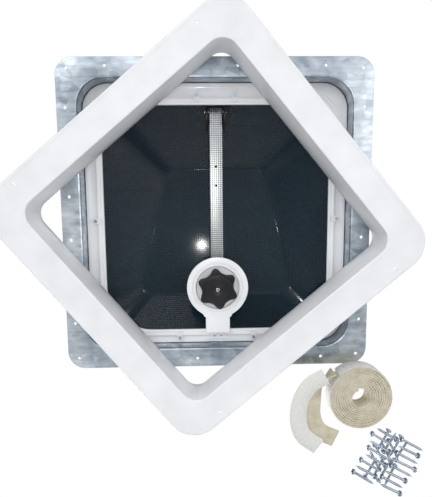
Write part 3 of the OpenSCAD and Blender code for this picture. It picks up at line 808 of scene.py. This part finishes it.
def tape_tail():
    """The loose end of the tape: on edge where it leaves the roll, flat further along."""
    points = [(-165, -222.5), (-157, -229), (-143, -240), (-134, -258),
              (-132, -283), (-143, -306), (-166, -318)]
    tail = loose_ribbon("tape_tail_strip", points, 2.6, TAPE_WIDTH - 0.6, FLOOR_Z + 0.9, 0.66, 0.2)
    adopt(tail, "trim_kit", "sealing_putty", PUTTY, "sealing_tape_tail")


def release_paper():
    """The strip peeled off the tape, lying flat."""
    points = [(-150, -224), (-128, -237), (-115, -260), (-112, -288), (-120, -312), (-142, -329)]
    paper = loose_ribbon("peeled_paper", points, 0.45, TAPE_WIDTH - 0.6, FLOOR_Z + 0.05, 0, 0.12)
    adopt(paper, "trim_kit", "liner_paper", PAPER, "release_paper")


# -------------------------------------------------------------- loose screws

def mounting_screws():
    """The pile of pan head screws: crossed layers, with each point a little lower than its head."""
    length, shank, head, head_height, thread = 38.0, 2.1, 4.1, 2.8, 1.9
    pitch = 10.6
    pile = (-246.0, -357.0)
    layers = [(8, 2, 25, head), (4, 2, 112, 3 * head + 0.3), (4, 1, 60, 5 * head + 0.6)]
    placements = []
    for rows, columns, heading, lift in layers:
        for c in range(columns):
            for r in range(rows):
                along = (c - (columns - 1) / 2) * (length + 5) + 3 * math.sin(math.radians(70 * r + 40 * c))
                across = (r - (rows - 1) / 2) * pitch
                flip = 180 * ((r + c) % 2)
                spin = flip + 7 * math.sin(math.radians(55 * c + 35))
                place_at = Matrix.Translation((pile[0], pile[1], FLOOR_Z + lift))
                place_at @= Matrix.Rotation(math.radians(heading), 4, "Z")
                place_at @= Matrix.Translation((along, across, 0))
                place_at @= Matrix.Rotation(math.radians(spin), 4, "Z")
                place_at @= Matrix.Translation((-length / 2, 0, 0))
                place_at @= Matrix.Rotation(math.radians(3.0), 4, "Y")
                place_at @= Matrix.Rotation(math.pi / 2, 4, "Y")
                place_at @= Matrix.Rotation(random.uniform(0, 6.28), 4, "Z")
                placements.append(place_at)
    screw_piece("loose_screws", placements, "trim_kit", "mounting_screws",
                (length, shank, head, head_height, thread))


# ------------------------------------------------- materials on CAD pieces

def dress_cad_nodes():
    """Gives the CAD pieces that are shown as they are their materials."""
    dressed = {
        ZINC: ["frame_rivets", "clip_screws", "case_screws", "leaf_rivets", "hinge_rivets"],
        CLIP: ["screen_clips"],
        RUBBER: ["screen_spline"],
        FOAM: ["lid_gasket"],
        NYLON: ["gear_case", "gear_cover", "slide_bushes", "lid_bracket", "bracket_rivets"],
        ACETAL: ["worm_screw", "worm_bush", "gear_sector"],
        STEEL: ["worm_shaft", "arm_shaft", "slide_pin", "hinge_pin"],
        ALUMINIUM: ["hinge_base", "hinge_leaf"],
    }
    for material, names in dressed.items():
        for name in names:
            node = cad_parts[name]
            for slot in node.material_slots:
                slot.link = "OBJECT"
                slot.material = material


# --------------------------------------------------------------------- stage

def stage_floor():
    """Pale floor that shows from above only; from below it lets the camera and the light through."""
    size, level = 30.0, FLOOR_Z * MM - 0.0004
    mesh = bpy.data.meshes.new("floor")
    corners = [(-size, -size, level), (size, -size, level), (size, size, level), (-size, size, level)]
    mesh.from_pydata(corners, [], [(0, 1, 2, 3)])
    floor = bpy.data.objects.new("floor", mesh)
    bpy.context.scene.collection.objects.link(floor)
    s = Surface("floor_paper", specular=0.2)
    s.colour(s.ramp(s.noise(3.0, 2.0), [(0.3, (0.585, 0.59, 0.60)), (0.7, (0.62, 0.625, 0.635))]))
    s.roughness(s.spread(s.noise(40.0, 2.0), 0.7, 0.85))
    clear = s.nodes.new("ShaderNodeBsdfTransparent")
    side = s.nodes.new("ShaderNodeNewGeometry")
    ray = s.nodes.new("ShaderNodeLightPath")
    seen = s.nodes.new("ShaderNodeMath")
    seen.operation = "SUBTRACT"
    seen.use_clamp = True
    choose = s.nodes.new("ShaderNodeMixShader")
    s.links.new(ray.outputs["Is Camera Ray"], seen.inputs[0])
    s.links.new(side.outputs["Backfacing"], seen.inputs[1])
    s.links.new(seen.outputs["Value"], choose.inputs["Fac"])
    s.links.new(clear.outputs["BSDF"], choose.inputs[1])
    s.links.new(s.shader.outputs["BSDF"], choose.inputs[2])
    s.links.new(choose.outputs["Shader"], s.nodes["Material Output"].inputs["Surface"])
    mesh.materials.append(s.material)


def flash_lamp():
    """Small lamp close to the camera, for the glint in the lid."""
    at, aim = Vector((0.03, 0.07, -0.64)), Vector((0, 0, 0.02))
    light = bpy.data.lights.new("flash", "AREA")
    light.shape = "DISK"
    light.size = 0.018
    light.energy = 0.4
    obj = bpy.data.objects.new("flash", light)
    obj.location = at
    obj.rotation_euler = (aim - at).to_track_quat("-Z", "Y").to_euler()
    obj.visible_camera = False
    obj.visible_transmission = False
    bpy.context.scene.collection.objects.link(obj)


def studio_world():
    """White behind the object, and a dim room with soft dark patches for light and reflections."""
    world = bpy.data.worlds.new("studio")
    world.use_nodes = True
    nodes, links = world.node_tree.nodes, world.node_tree.links
    room = nodes["Background"]
    backdrop = nodes.new("ShaderNodeBackground")
    backdrop.inputs["Color"].default_value = (1, 1, 1, 1)
    coordinate = nodes.new("ShaderNodeTexCoord")
    patches = nodes.new("ShaderNodeTexNoise")
    patches.inputs["Scale"].default_value = 2.2
    patches.inputs["Detail"].default_value = 1.0
    ramp = nodes.new("ShaderNodeValToRGB")
    ramp.color_ramp.elements[0].position = 0.42
    ramp.color_ramp.elements[0].color = (0.06, 0.065, 0.07, 1)
    ramp.color_ramp.elements[1].position = 0.62
    ramp.color_ramp.elements[1].color = (0.80, 0.82, 0.85, 1)
    ray = nodes.new("ShaderNodeLightPath")
    choose = nodes.new("ShaderNodeMixShader")
    links.new(coordinate.outputs["Generated"], patches.inputs["Vector"])
    links.new(patches.outputs["Fac"], ramp.inputs["Fac"])
    links.new(ramp.outputs["Color"], room.inputs["Color"])
    links.new(ray.outputs["Is Camera Ray"], choose.inputs["Fac"])
    links.new(room.outputs["Background"], choose.inputs[1])
    links.new(backdrop.outputs["Background"], choose.inputs[2])
    links.new(choose.outputs["Shader"], nodes["World Output"].inputs["Surface"])
    bpy.context.scene.world = world


def sun_light(name, direction, strength, spread):
    """Even light from one side, with soft shadows."""
    light = bpy.data.lights.new(name, "SUN")
    light.energy = strength
    light.angle = math.radians(spread)
    obj = bpy.data.objects.new(name, light)
    obj.rotation_euler = Vector(direction).to_track_quat("-Z", "Y").to_euler()
    bpy.context.scene.collection.objects.link(obj)


def lights():
    """Wide suns from below and above: direction, strength and spread in degrees."""
    sun_light("under_key", (-0.9, -1.2, 1.1), 1.15, 60)
    sun_light("under_side", (1.3, -0.5, 1.1), 0.7, 60)
    sun_light("under_front", (-0.3, 1.5, 1.1), 0.5, 60)
    sun_light("under_fill", (0.02, 0.03, 1.0), 0.5, 100)
    flash_lamp()
    sun_light("over_key", (-0.5, 0.55, -1.0), 1.7, 35)
    sun_light("over_fill", (0.7, -0.4, -0.8), 0.5, 50)


def camera():
    """Looks up at the room side of the vent from 0.6 m below."""
    at, aim = Vector((0.0171, 0.0221, -0.6010)), Vector((0.0022, -0.0453, 0))
    upward = Vector((-0.0091, 1, 0))
    ahead = (aim - at).normalized()
    right = ahead.cross(upward).normalized()
    up = right.cross(ahead)
    data = bpy.data.cameras.new("camera")
    data.sensor_width = 36
    data.lens = 30.12
    data.clip_start = 0.01
    obj = bpy.data.objects.new("camera", data)
    obj.matrix_world = Matrix.Translation(at) @ Matrix((right, up, -ahead)).transposed().to_4x4()
    bpy.context.scene.collection.objects.link(obj)
    bpy.context.scene.camera = obj
    bpy.context.scene.view_settings.view_transform = "Standard"


camera()
studio_world()
lights()
stage_floor()
roof_flange()
inner_frame()
screen_frame()
insect_screen()
operator_housing()
knob()
knob_screw()
lift_arm()
dome_lid()
garnish_ring()
tape_roll()
tape_tail()
release_paper()
mounting_screws()
dress_cad_nodes()
